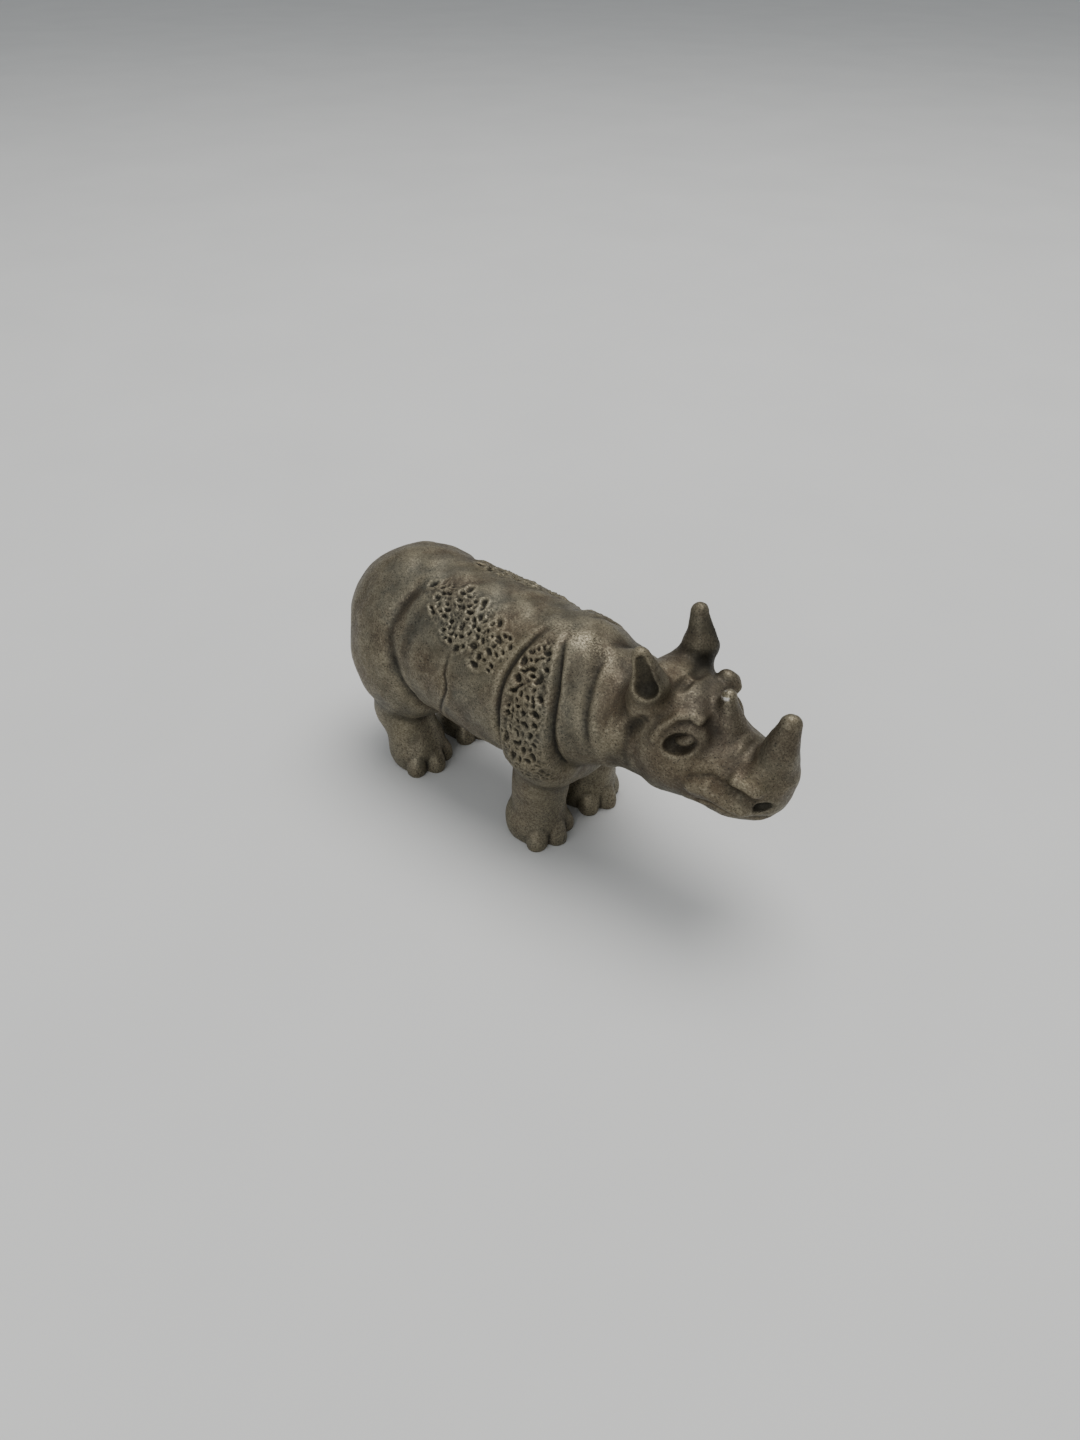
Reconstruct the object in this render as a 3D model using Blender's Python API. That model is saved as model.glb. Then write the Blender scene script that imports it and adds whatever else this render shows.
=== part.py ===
"""Small cast rhinoceros with skin folds, pitted hide and two horns, standing on its four feet.

The whole animal is one solid casting. Its form is put together from rounded masses, folds and pits
whose sizes are shares of its own length; it is then cut flat under the feet.
"""
import bmesh
import bpy
import numpy as np

# Driving size, in metres: from the rump to the tip of the nose
FIGURE_LENGTH = 0.059
# Every size below is in fifty-ninths of that length
UNIT = FIGURE_LENGTH / 59.0
GRID_STEP = 0.24
FACE_COUNT = 9700
SOLE_CUT = 0.04

# Standing points of the legs; the legs of the left side mirror those of the right
HIND_X, FORE_X, LEG_Y = -18.9, 0.9, 4.2
FORE_STEP = 0.6
FOOT_HALF, TOE_REACH, TOE_HALF = 3.3, 2.6, 1.3
TOE_TURNS = (-48, 2, 54)
BARREL_HALF_WIDE, BARREL_HALF_HIGH = 9.1, 8.8
SLEEVE_HALF_WIDE, SLEEVE_HALF_HIGH = 9.25, 9.1
NOSE_HORN = ((26.9, 0, 21.2), (27.75, 0, 27.1), 2.45, 1.1)
BROW_HORN = ((21.9, 0, 22.0), (21.1, 0, 27.0), 2.2, 0.8)
EYE, EYE_PITCH = (19.4, 4.7, 23.2), 27
NOSTRIL = (28.0, 2.9, 18.75)

# Skin folds as seen from the side: height and place along the body, from the top down
THIGH_FOLD = ((26.6, -15.9), (24.8, -17.0), (22.6, -17.7), (20.0, -17.5), (17.5, -16.6), (14.3, -15.4),
              (11.2, -14.2))
SHOULDER_REAR = ((27.5, 0.6), (26.2, 0.0), (25.2, -0.7), (23.6, -1.1), (21.0, -1.0), (17.5, -0.8),
                 (13.0, -0.9))
SHOULDER_FRONT = ((27.0, 3.2), (24.9, 4.5), (22.8, 5.3), (20.2, 5.9), (17.5, 6.3), (14.6, 6.8))
NECK_FOLD = ((26.4, 6.9), (25.5, 7.3), (24.7, 7.7), (23.8, 8.0), (22.7, 8.5), (21.5, 9.2), (19.6, 9.8))
FLANK_CREASE = ((19.6, -8.2), (17.6, -8.6), (15.8, -9.5), (14.2, -10.1))
# Curve, lean from the top at which it starts, depth, width and lip (above zero: raised in front of it)
SKIN_FOLDS = ((THIGH_FOLD, 14, 0.35, 0.85, 0.15), (SHOULDER_REAR, 12, 0.4, 0.42, 0.2),
              (SHOULDER_FRONT, 10, 0.4, 0.34, -0.12), (NECK_FOLD, -4, 0.28, 0.5, 0.08),
              (FLANK_CREASE, 50, 0.18, 0.28, 0.05))
# Relief of the head: points along each ridge or crease, its width, and its height or depth below zero
HEAD_RELIEF = (
    # Roll of the upper lip, the crease around it and the slit of the mouth
    (((21.3, 4.9, 19.2), (22.6, 4.5, 19.3), (24.3, 4.2, 18.7), (26.2, 3.7, 18.1)), 0.8, 0.9),
    (((20.9, 4.7, 20.1), (22.6, 4.3, 20.7), (24.5, 4.0, 20.1), (25.9, 3.8, 19.7), (27.0, 3.4, 19.4)),
     0.5, -0.25),
    (((21.6, 4.2, 17.2), (23.4, 4.1, 17.7), (25.4, 3.8, 17.5), (27.4, 2.6, 17.0), (28.6, 0, 16.9)),
     0.34, -0.3),
    # Wing of the nose
    (((24.9, 4.0, 21.1), (26.1, 3.8, 21.0), (27.2, 3.4, 20.6)), 0.55, 0.75),
    # Brow over the eye, and the hollow between it and the horn
    (((16.6, 5.2, 23.2), (17.2, 5.0, 24.6), (18.2, 4.6, 25.7), (19.4, 3.8, 26.0), (20.2, 3.4, 25.6)),
     0.5, 0.62),
    (((20.1, 2.8, 25.1), (21.3, 2.2, 24.2), (22.6, 1.8, 23.4)), 0.6, -0.12),
    # Crease behind the jaw and under the ear
    (((15.0, 5.8, 24.4), (13.6, 5.7, 22.6), (12.7, 5.6, 20.4), (13.0, 4.9, 18.0)), 0.6, -0.6),
    (((16.4, 5.4, 25.2), (15.2, 5.6, 24.6)), 0.4, -0.15),
    # Folds across the snout and a dent in the forehead
    (((25.2, 1.9, 22.8), (24.6, 0, 23.4)), 0.35, -0.18),
    (((23.9, 1.4, 23.0), (23.6, 0, 23.5)), 0.4, 0.2),
    (((16.6, 1.1, 27.2), (17.0, 0.9, 27.0)), 0.4, -0.45),
)
# Cast pits: how many on each side, their radius and depth
SADDLE_PITS, SLEEVE_PITS = 62, 54
PIT_RADIUS, PIT_DEPTH = (0.19, 0.46), (0.24, 0.42)
# How far apart they keep, how much longer than wide they are, and how proud their rims stand
PIT_SPACING, PIT_STRETCH, PIT_RIM = 1.15, 0.35, 0.15
PIT_SEED = 8
BOX_LOW, BOX_HIGH = (-31.5, -11.5, -1.0), (31.5, 11.5, 34.5)


def length_of(v):
    return np.sqrt((v * v).sum(axis=-1))


def ellipsoid(p, centre, radii, pitch=0.0, power=2.0):
    """Rough distance to an egg shape; pitch tips its nose up, in degrees."""
    q = p - np.array(centre, np.float32)
    if pitch:
        c, s = np.cos(np.radians(pitch)), np.sin(np.radians(pitch))
        q = np.stack([c * q[..., 0] + s * q[..., 2], q[..., 1], c * q[..., 2] - s * q[..., 0]], -1)
    r = np.array(radii, np.float32)
    if power == 2.0:
        k0 = length_of(q / r)
        k1 = length_of(q / (r * r))
        return k0 * (k0 - 1) / np.maximum(k1, 1e-6)
    g = (np.abs(q / r) ** power).sum(-1)
    return length_of(q) * (1 - np.maximum(g, 1e-9) ** (-1 / power))


def oval(u, v, half_u, half_v):
    """Distance to an oval bar that runs at right angles to u and v."""
    k0 = np.sqrt((u / half_u) ** 2 + (v / half_v) ** 2)
    k1 = np.sqrt((u / half_u ** 2) ** 2 + (v / half_v ** 2) ** 2)
    return k0 * (k0 - 1) / np.maximum(k1, 1e-6)


def limb(p, a, b, radius_a, radius_b):
    """Distance to a round tapered limb from a to b."""
    a = np.array(a, np.float32)
    b = np.array(b, np.float32)
    along = b - a
    t = np.clip(((p - a) @ along) / (along @ along), 0, 1)
    return length_of(p - a - t[..., None] * along) - (radius_a + t * (radius_b - radius_a))


def cord(p, points, radius):
    """Distance to a round cord through the points."""
    out = limb(p, points[0], points[1], radius, radius)
    for a, b in zip(points[1:-1], points[2:]):
        out = np.minimum(out, limb(p, a, b, radius, radius))
    return out


def join(a, b, blend):
    h = np.maximum(blend - np.abs(a - b), 0) / blend
    return np.minimum(a, b) - h * h * blend * 0.25


def carve(a, b, blend):
    return -join(-a, b, blend)


def meet(a, b, blend):
    return -join(-a, -b, blend)


def place_on(curve, z):
    """Place along the body of a smooth curve through the fold's points, at a height."""
    heights, places = np.array(curve, float).T
    bend = np.polyfit(heights - 20, places, 3)
    return np.polyval(bend, np.clip(z, heights.min() - 1, heights.max() + 1) - 20)


def lean_of(p):
    """Angle around the body from straight up, in degrees."""
    return np.degrees(np.arctan2(np.abs(p[..., 1]), p[..., 2] - 18.0))


def fold(p, d, curve, start, depth, width, lip):
    """Press a skin fold along a curve seen from the side, with a raised lip on one side of it."""
    heights, z = np.array(curve)[:, 0], p[..., 2]
    s = p[..., 0] - place_on(curve, z)
    fade = np.clip((z - heights.min() + 0.6) / 1.6, 0, 1) * np.clip((lean_of(p) - start) / 22, 0, 1)
    near = np.clip(1.5 - np.abs(d), 0, 1)
    groove = np.exp(-(s / width) ** 2)
    raised = np.exp(-((s - np.sign(lip) * 1.9 * width) / (1.3 * width)) ** 2)
    return d + fade * near * (depth * groove - abs(lip) * raised)


def relief(m, d, points, width, height):
    """Raise a soft ridge along points near the skin, or press a crease where the height is below zero."""
    # How far out the points lie matters little, because the skin itself is moved
    flat = np.array((1, 0.35, 1), np.float32)
    away = cord(m * flat, [np.array(q) * flat for q in points], 0.0)
    near = np.clip(1.5 - np.abs(d), 0, 1)
    return d - height * near * np.exp(-(away / width) ** 2)


def foot(m, x, y):
    out = ellipsoid(m, (x - 0.5, y, 1.7), (FOOT_HALF, FOOT_HALF, 3.4), power=2.3)
    for turn in TOE_TURNS:
        c, s = np.cos(np.radians(turn)), np.sin(np.radians(turn))
        toe = ellipsoid(m, (x + TOE_REACH * c, y + TOE_REACH * s, 0.8), (TOE_HALF, TOE_HALF, 2.1))
        nail = ellipsoid(m, (x + (TOE_REACH + 0.35) * c, y + (TOE_REACH + 0.35) * s, 0.7), (1.1, 1.1, 1.6))
        gap = limb(m, (x + (TOE_REACH + 0.2) * c, y + (TOE_REACH + 0.2) * s, 2.9),
                   (x + TOE_REACH * c - 0.2, y + TOE_REACH * s, 3.0), 0.45, 0.3)
        out = join(carve(out, gap, 0.5), join(toe, nail, 0.3), 0.12)
    return out


def body(p, m):
    # The masses run into each other along the back and part into folds down the sides
    top = np.clip((58 - lean_of(p)) / 40, 0, 1) * np.clip((p[..., 2] - 18) / 4, 0, 1)
    # Rump, thigh, hock and hind foot
    rump = ellipsoid(p, (-19.5, 0, 18.2), (10.3, 9.0, 9.45))
    thigh = ellipsoid(m, (-20.4, 4.3, 13.8), (6.9, 4.7, 6.6), pitch=8)
    hind = join(rump, thigh, 2.5)
    shank = limb(m, (-21.2, 4.5, 8.5), (HIND_X - 0.4, LEG_Y, 3.0), 3.3, 3.2)
    hock = ellipsoid(m, (-22.7, 4.6, 7.0), (2.5, 2.3, 2.5))
    shank = join(shank, hock, 1.2)
    shank = join(shank, foot(m, HIND_X, LEG_Y), 1.0)
    hind = join(hind, shank, 0.6)
    tail = limb(p, (-28.9, 0, 18.9), (-29.15, 0, 14.6), 0.95, 0.8)
    tuft = ellipsoid(p, (-29.0, 0, 13.3), (0.95, 1.15, 2.0))
    hind = join(hind, join(tail, tuft, 0.5), 0.4)
    # Barrel of the body, its rear edge rolled over the thigh
    drop = (p[..., 0] + 6.0) * 0.05
    barrel = oval(p[..., 1], p[..., 2] - 18.1 + drop, BARREL_HALF_WIDE, BARREL_HALF_HIGH)
    barrel = barrel + 0.55 * ((p[..., 0] + 8.0) / 9.0) ** 2 - 0.2
    rear_edge = oval(p[..., 0] + 6.6, p[..., 2] - 19.0, 10.6, 12.0)
    barrel = meet(barrel, rear_edge, 4.0)
    out = join(hind, barrel, 1.1 + 2.4 * top)
    back = limb(p, (-19.5, 0, 21.2), (3, 0, 20.6), 5.9, 6.3)
    out = join(out, back, 2.0)
    # Neck, deep at the chest and narrow behind the head
    t = np.clip((p[..., 0] - 5) / 7, 0, 1)
    lift = 0.6 * np.clip(p[..., 0] - 11, 0, 3)
    neck = oval(p[..., 1], p[..., 2] - 18.8 - 0.9 * t - lift, 8.4 - 1.8 * t, 7.2 - 2.4 * t - 0.8 * lift)
    neck = meet(neck, np.abs(p[..., 0] - 8.4) - 5.4, 3.0)
    nape = limb(p, (2, 0, 19.6), (12.5, 0, 19.0), 5.5, 5.1)
    out = join(out, join(neck, nape, 1.5), 0.6 + 2.0 * top)
    # Shoulder sleeve, upper arm and fore foot
    ring = oval(p[..., 1], p[..., 2] - 17.6, SLEEVE_HALF_WIDE, SLEEVE_HALF_HIGH)
    middle = 2.5 + np.clip(20 - p[..., 2], -3, 9) * 0.02
    half = 2.3 + np.clip(27 - p[..., 2], 0, 9) * 0.17
    ring = meet(ring, np.abs(p[..., 0] - middle) - half, 3.0)
    arm = ellipsoid(m, (2.9, 4.9, 15.2), (4.3, 4.6, 5.5), pitch=-4)
    out = join(out, join(ring, arm, 1.6), 0.4 + 2.2 * top)
    # The left fore foot stands a step further forward
    stepped = m.copy()
    stepped[..., 0] -= FORE_STEP * np.clip(p[..., 1] / 4 + 0.5, 0, 1) * np.clip((13 - p[..., 2]) / 9, 0, 1)
    leg = limb(stepped, (2.0, 4.8, 11.0), (FORE_X - 0.3, LEG_Y, 2.6), 3.3, 3.1)
    leg = join(leg, foot(stepped, FORE_X, LEG_Y), 1.2)
    out = join(out, leg, 0.5)
    for curve, start, depth, width, lip in SKIN_FOLDS:
        out = fold(p, out, curve, start, depth, width, lip)
    return out


def head(p, m):
    skull = ellipsoid(p, (15.7, 0, 21.7), (5.7, 5.3, 5.7), power=2.4)
    cheek = ellipsoid(m, (16.7, 2.6, 18.9), (3.7, 2.7, 3.9))
    muzzle = ellipsoid(p, (23.2, 0, 18.8), (5.6, 3.9, 4.1), power=2.3)
    out = join(skull, cheek, 2.0)
    out = join(out, muzzle, 3.0)
    nose = ellipsoid(p, (26.4, 0, 19.8), (2.2, 3.0, 3.2))
    out = join(out, nose, 1.5)
    face = limb(m, (17.2, 2.0, 20.6), (23.6, 1.5, 18.3), 3.2, 2.5)
    out = join(out, face, 2.0)
    out = join(out, limb(p, *NOSE_HORN), 1.0)
    out = join(out, limb(p, *BROW_HORN), 1.2)
    # Crest of the skull between the ears
    out = join(out, limb(m, (14.2, 0, 25.6), (14.2, 2.6, 25.6), 2.2, 2.1), 1.2)
    # Ears, hollowed on the side that faces forward and out
    ear = limb(m, (14.9, 4.5, 28.2), (14.1, 4.95, 31.3), 1.8, 0.95)
    ear = join(ear, limb(m, (14.6, 3.6, 25.2), (14.75, 4.2, 27.9), 2.15, 1.7), 0.7)
    hollow = limb(m, (15.4, 5.95, 28.6), (14.75, 6.0, 31.2), 1.33, 0.8)
    out = join(out, carve(ear, hollow, 0.25), 0.9)
    # Knob on the far brow
    out = join(out, ellipsoid(p, (18.8, 3.4, 26.2), (1.1, 0.9, 1.0)), 0.5)
    # Eyes in almond sockets with a raised rim
    x, y, z = EYE
    rim = ellipsoid(m, (x - 0.4, y - 1.6, z), (2.2, 0.9, 1.4), pitch=EYE_PITCH)
    socket = ellipsoid(m, (x, y + 0.3, z), (2.0, 1.4, 1.15), pitch=EYE_PITCH)
    ball = ellipsoid(m, (x - 0.3, y - 0.85, z), (1.2, 0.8, 0.62), pitch=EYE_PITCH)
    out = join(out, rim, 1.0)
    out = carve(out, socket, 0.3)
    out = join(out, ball, 0.1)
    for points, width, height in HEAD_RELIEF:
        out = relief(m, out, points, width, height)
    return carve(out, ellipsoid(m, NOSTRIL, (1.15, 1.0, 0.62), pitch=20), 0.15)


def figure(p):
    """Distance from points to the whole figure; its left side mirrors its right."""
    m = p.copy()
    m[..., 1] = np.abs(m[..., 1])
    # Low lumps, as in any small cast that was first modelled by hand
    x, y, z = p[..., 0], p[..., 1], p[..., 2]
    lumps = np.sin(1.1 * x + 0.6 * y) * np.sin(0.9 * z - 0.4 * x)
    lumps = lumps + np.sin(1.7 * y - 0.8 * z) * np.sin(1.4 * x + 1)
    return np.maximum(join(body(p, m), head(p, m), 1.1) - 0.05 * lumps, -z)


def settle(values, step):
    """Fill the grid cells where the skin would only meet itself along an edge or at a corner."""
    halves = ((0, -1), (1, None))
    whole = (0, None)
    corners = [(a, b, c) for a in halves for b in halves for c in halves]
    for _ in range(20):
        inside = values < 0
        bad = []
        for flat in range(3):
            span = [(a, b) for a in halves for b in halves]
            span = [tuple(s[:flat] + (whole,) + s[flat:]) for s in span]
            four = [inside[tuple(slice(*r) for r in s)] for s in span]
            crossed = (four[0] == four[3]) & (four[1] == four[2]) & (four[0] != four[1])
            bad.append((span, crossed))
        eight = [inside[tuple(slice(*r) for r in s)] for s in corners]
        count = sum(e.astype(np.int8) for e in eight)
        crossed = np.zeros(count.shape, bool)
        for i in range(4):
            pair = eight[i] == eight[7 - i]
            crossed |= pair & ((eight[i] & (count == 2)) | (~eight[i] & (count == 6)))
        bad.append((corners, crossed))
        if not any(c.any() for _, c in bad):
            break
        for span, crossed in bad:
            for s in span:
                part = values[tuple(slice(*r) for r in s)]
                part[crossed] = np.minimum(part[crossed], -0.05 * step)
    return values


def crossings(values, low, step):
    """Skin of four-sided faces where the values pass from inside to outside."""
    inside = values < 0
    ends = ((0, -1), (1, None))
    count = sum(inside[a[0]:a[1], b[0]:b[1], c[0]:c[1]].astype(np.int8)
                for a in ends for b in ends for c in ends)
    cells = np.argwhere((count > 0) & (count < 8))
    index = -np.ones(np.array(values.shape) - 1, np.int64)
    index[tuple(cells.T)] = np.arange(len(cells))
    total = np.zeros((len(cells), 3))
    hits = np.zeros(len(cells))
    corner = np.array([(i, j, k) for i in (0, 1) for j in (0, 1) for k in (0, 1)])
    for a in range(8):
        for b in range(a + 1, 8):
            if np.abs(corner[a] - corner[b]).sum() != 1:
                continue
            va = values[tuple((cells + corner[a]).T)]
            vb = values[tuple((cells + corner[b]).T)]
            hit = (va < 0) != (vb < 0)
            t = np.where(hit, va / np.where(hit, va - vb, 1), 0)
            total += (corner[a] + t[:, None] * (corner[b] - corner[a])) * hit[:, None]
            hits += hit
    points = (cells + total / hits[:, None]) * step + low
    quads = []
    for axis in range(3):
        first, second = [(1, 2), (2, 0), (0, 1)][axis]
        lower = [slice(None)] * 3
        upper = [slice(None)] * 3
        lower[axis], upper[axis] = slice(0, -1), slice(1, None)
        here, there = inside[tuple(lower)], inside[tuple(upper)]
        e = np.argwhere(here != there)
        outward = here[tuple(e.T)]
        d1, d2 = np.zeros(3, int), np.zeros(3, int)
        d1[first] = 1
        d2[second] = 1
        quad = np.stack([index[tuple((e - d).T)] for d in (d1 + d2, d2, 0 * d1, d1)], 1)
        quad[~outward] = quad[~outward][:, ::-1]
        quads.append(quad)
    return points, np.concatenate(quads)


def skin_of(step, block=4):
    """Points and faces of the figure's skin; only the grid blocks near the skin are filled in."""
    low, high = np.array(BOX_LOW, float), np.array(BOX_HIGH, float)
    cells = np.ceil((high - low) / (step * block)).astype(int)
    axes = [(np.arange(n) + 0.5) * step * block for n in cells]
    middles = np.stack(np.meshgrid(*axes, indexing="ij"), -1) + low
    coarse = figure(middles.reshape(-1, 3).astype(np.float32)).reshape(cells)
    near = np.abs(coarse) < step * block * 2.4
    values = np.where(coarse < 0, -9.0, 9.0).astype(np.float32)
    for axis in range(3):
        values = np.repeat(values, block, axis)
        near = np.repeat(near, block, axis)
    at = (np.argwhere(near) * step + low + step * 0.5).astype(np.float32)
    filled = np.empty(len(at), np.float32)
    for start in range(0, len(at), 400000):
        filled[start:start + 400000] = figure(at[start:start + 400000])
    values[near] = filled
    return crossings(settle(values, step), low + step * 0.5, step)


def pit_spots():
    """Middles, outward ways, radii and depths of the cast pits on the saddle and the shoulder sleeves."""
    dice = np.random.RandomState(PIT_SEED)
    spots = []
    for number, pick in ((SADDLE_PITS, saddle_place), (SLEEVE_PITS, sleeve_place)):
        for side in (-1, 1):
            placed = []
            tries = 0
            while len(placed) < number and tries < 40 * number:
                tries += 1
                x, lean = pick(dice)
                radius = PIT_RADIUS[0] + (PIT_RADIUS[1] - PIT_RADIUS[0]) * dice.uniform() ** 1.5
                if all(np.hypot(x - o[0], (lean - o[1]) * 0.16) > (radius + o[2]) * PIT_SPACING
                       for o in placed):
                    placed.append((x, lean, radius, dice.uniform(*PIT_DEPTH), dice.uniform(0, 180)))
            spots += [(x, side * lean, *others) for x, lean, *others in placed]
    x, lean, radius, depth, turn = np.array(spots).T
    aim = np.stack([0 * x, np.sin(np.radians(lean)), np.cos(np.radians(lean))], 1)
    start = np.stack([x, 0 * x, 0 * x + 18.0], 1)
    inner, outer = np.zeros(len(x)), np.full(len(x), 13.0)
    for _ in range(24):
        half = (inner + outer) / 2
        outside = figure((start + aim * half[:, None]).astype(np.float32)) > 0
        outer = np.where(outside, half, outer)
        inner = np.where(outside, inner, half)
    # Each pit is stretched along a way of its own that lies in the skin
    c, s = np.cos(np.radians(turn))[:, None], np.sin(np.radians(turn))[:, None]
    along = c * np.array((1.0, 0, 0)) + s * np.cross(aim, (1.0, 0, 0))
    return start + aim * inner[:, None], aim, along, radius, depth


def saddle_place(dice):
    """Somewhere in a slanting patch behind the withers."""
    while True:
        x, lean = dice.uniform(-15.6, -0.6), dice.uniform(9, 62)
        middle = 35 + (x + 8) * 1.8
        if ((x + 8.0) / 7.4) ** 2 + ((lean - middle) / 21) ** 2 < dice.uniform(0.6, 1):
            return x, lean


def sleeve_place(dice):
    """Somewhere between the shoulder folds, thinning out downwards."""
    lean = 26 + 92 * dice.uniform() ** 1.3
    z = 18 + 9.2 * np.cos(np.radians(lean))
    low = place_on(SHOULDER_REAR, z) + 0.9
    high = place_on(SHOULDER_FRONT, z) - 1.1
    return dice.uniform(low, max(high, low + 0.6)), lean


def press_pits(points):
    """The points moved in where the pits are and out on their rims, and how far each one moved."""
    moved = points.copy()
    relief = np.zeros(len(points))
    for middle, aim, along, radius, depth in zip(*pit_spots()):
        near = np.where((np.abs(points - middle) < 3.5 * radius).all(1))[0]
        away = points[near] - middle
        s = length_of(away - PIT_STRETCH * (away @ along)[:, None] * along) / radius
        rise = depth * (PIT_RIM * np.exp(-((s - 1.6) / 0.5) ** 2) - np.exp(-(s / 0.85) ** 4))
        moved[near] += rise[:, None] * aim
        relief[near] += rise
    return moved, relief


def pewter():
    material = bpy.data.materials.new("pewter")
    material.use_nodes = True
    shader = material.node_tree.nodes["Principled BSDF"]
    shader.inputs["Base Color"].default_value = (0.23, 0.205, 0.175, 1)
    shader.inputs["Metallic"].default_value = 0.75
    shader.inputs["Roughness"].default_value = 0.55
    return material


def flat_soles(mesh, height):
    """Cut everything under the height off and close the cuts with flat soles."""
    shape = bmesh.new()
    shape.from_mesh(mesh)
    parts = shape.verts[:] + shape.edges[:] + shape.faces[:]
    cut = bmesh.ops.bisect_plane(shape, geom=parts, dist=1e-8, plane_co=(0, 0, height),
                                 plane_no=(0, 0, 1), clear_inner=True)
    rim = [g for g in cut["geom_cut"] if isinstance(g, bmesh.types.BMEdge)]
    bmesh.ops.dissolve_degenerate(shape, dist=0.04 * UNIT, edges=rim)
    edges = [e for e in shape.edges if e.is_boundary]
    closed = bmesh.ops.edgeloop_fill(shape, edges=edges)
    bmesh.ops.triangulate(shape, faces=closed["faces"])
    bmesh.ops.recalc_face_normals(shape, faces=shape.faces[:])
    shape.to_mesh(mesh)
    shape.free()


def build():
    for thing in list(bpy.data.objects):
        bpy.data.objects.remove(thing, do_unlink=True)
    points, quads = skin_of(GRID_STEP)
    points = press_pits(points)[0]
    mesh = bpy.data.meshes.new("rhinoceros_figurine")
    mesh.from_pydata((points * UNIT).tolist(), [], quads.tolist())
    figure_object = bpy.data.objects.new("rhinoceros_figurine", mesh)
    bpy.context.scene.collection.objects.link(figure_object)

    fewer = figure_object.modifiers.new("fewer faces", "DECIMATE")
    fewer.ratio = FACE_COUNT / (2 * len(quads))
    fewer.use_collapse_triangulate = True
    bpy.context.view_layer.update()
    light = bpy.data.meshes.new_from_object(figure_object.evaluated_get(
        bpy.context.evaluated_depsgraph_get()))
    figure_object.modifiers.clear()
    figure_object.data = light
    light.name = "rhinoceros_figurine"
    bpy.data.meshes.remove(mesh)

    flat_soles(light, SOLE_CUT * UNIT)
    at = np.array([v.co for v in light.vertices])
    low, high = at.min(0), at.max(0)
    shift = np.array([(low[0] + high[0]) / 2, (low[1] + high[1]) / 2, low[2]])
    light.vertices.foreach_set("co", (at - shift).ravel())
    light.update()
    light.materials.append(pewter())
    light.shade_smooth()
    return figure_object


build()
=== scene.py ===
"""Dressed model of the small cast rhinoceros: its finely carved skin, its pewter and its patina.

The skin is built from the same masses, folds and pits as the plain solid, on a finer grid, with the
small relief of the casting added. Lengths are in shares of the figure's own length.
"""

import bpy
import numpy as np
from mathutils import Matrix, Vector, noise


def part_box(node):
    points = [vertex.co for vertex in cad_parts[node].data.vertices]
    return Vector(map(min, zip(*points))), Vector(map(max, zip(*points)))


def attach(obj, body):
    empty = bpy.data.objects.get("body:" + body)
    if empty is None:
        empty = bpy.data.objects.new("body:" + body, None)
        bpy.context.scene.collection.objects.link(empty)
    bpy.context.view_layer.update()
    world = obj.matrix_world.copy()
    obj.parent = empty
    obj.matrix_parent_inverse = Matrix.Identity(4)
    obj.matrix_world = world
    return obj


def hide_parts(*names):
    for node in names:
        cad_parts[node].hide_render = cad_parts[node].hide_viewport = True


FIGURE_LENGTH = 0.059
# One share of the length; the values below are in such shares, 59 to the whole, unless they say metres
UNIT = FIGURE_LENGTH / 59.0
# Finest step of the grid that the skin is drawn on, and the triangles that are kept of it
GRID_STEP = 0.17
FACE_COUNT = 190000

# Standing points of the legs; the legs of the left side mirror those of the right
HIND_X, FORE_X, LEG_Y = -18.9, 0.9, 4.2
FORE_STEP = 0.6
FOOT_HALF, TOE_REACH, TOE_HALF = 3.3, 2.6, 1.3
TOE_TURNS = (-48, 2, 54)
BARREL_HALF_WIDE, BARREL_HALF_HIGH = 9.1, 8.8
SLEEVE_HALF_WIDE, SLEEVE_HALF_HIGH = 9.25, 9.1
NOSE_HORN = ((26.9, 0, 21.2), (27.75, 0, 27.1), 2.45, 1.1)
BROW_HORN = ((21.9, 0, 22.0), (21.1, 0, 27.0), 2.2, 0.8)
EYE, EYE_PITCH = (19.4, 4.7, 23.2), 27
NOSTRIL = (28.0, 2.9, 18.75)

# Skin folds as seen from the side: height and place along the body, from the top down
THIGH_FOLD = ((26.6, -15.9), (24.8, -17.0), (22.6, -17.7), (20.0, -17.5), (17.5, -16.6), (14.3, -15.4),
              (11.2, -14.2))
SHOULDER_REAR = ((27.5, 0.6), (26.2, 0.0), (25.2, -0.7), (23.6, -1.1), (21.0, -1.0), (17.5, -0.8),
                 (13.0, -0.9))
SHOULDER_FRONT = ((27.0, 3.2), (24.9, 4.5), (22.8, 5.3), (20.2, 5.9), (17.5, 6.3), (14.6, 6.8))
NECK_FOLD = ((26.4, 6.9), (25.5, 7.3), (24.7, 7.7), (23.8, 8.0), (22.7, 8.5), (21.5, 9.2), (19.6, 9.8))
FLANK_CREASE = ((19.6, -8.2), (17.6, -8.6), (15.8, -9.5), (14.2, -10.1))
# Curve, lean from the top at which it starts, depth, width and lip (above zero: raised in front of it)
SKIN_FOLDS = ((THIGH_FOLD, 14, 0.35, 0.85, 0.15), (SHOULDER_REAR, 12, 0.4, 0.42, 0.2),
              (SHOULDER_FRONT, 10, 0.4, 0.34, -0.12), (NECK_FOLD, -4, 0.28, 0.5, 0.08),
              (FLANK_CREASE, 50, 0.18, 0.28, 0.05))
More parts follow.
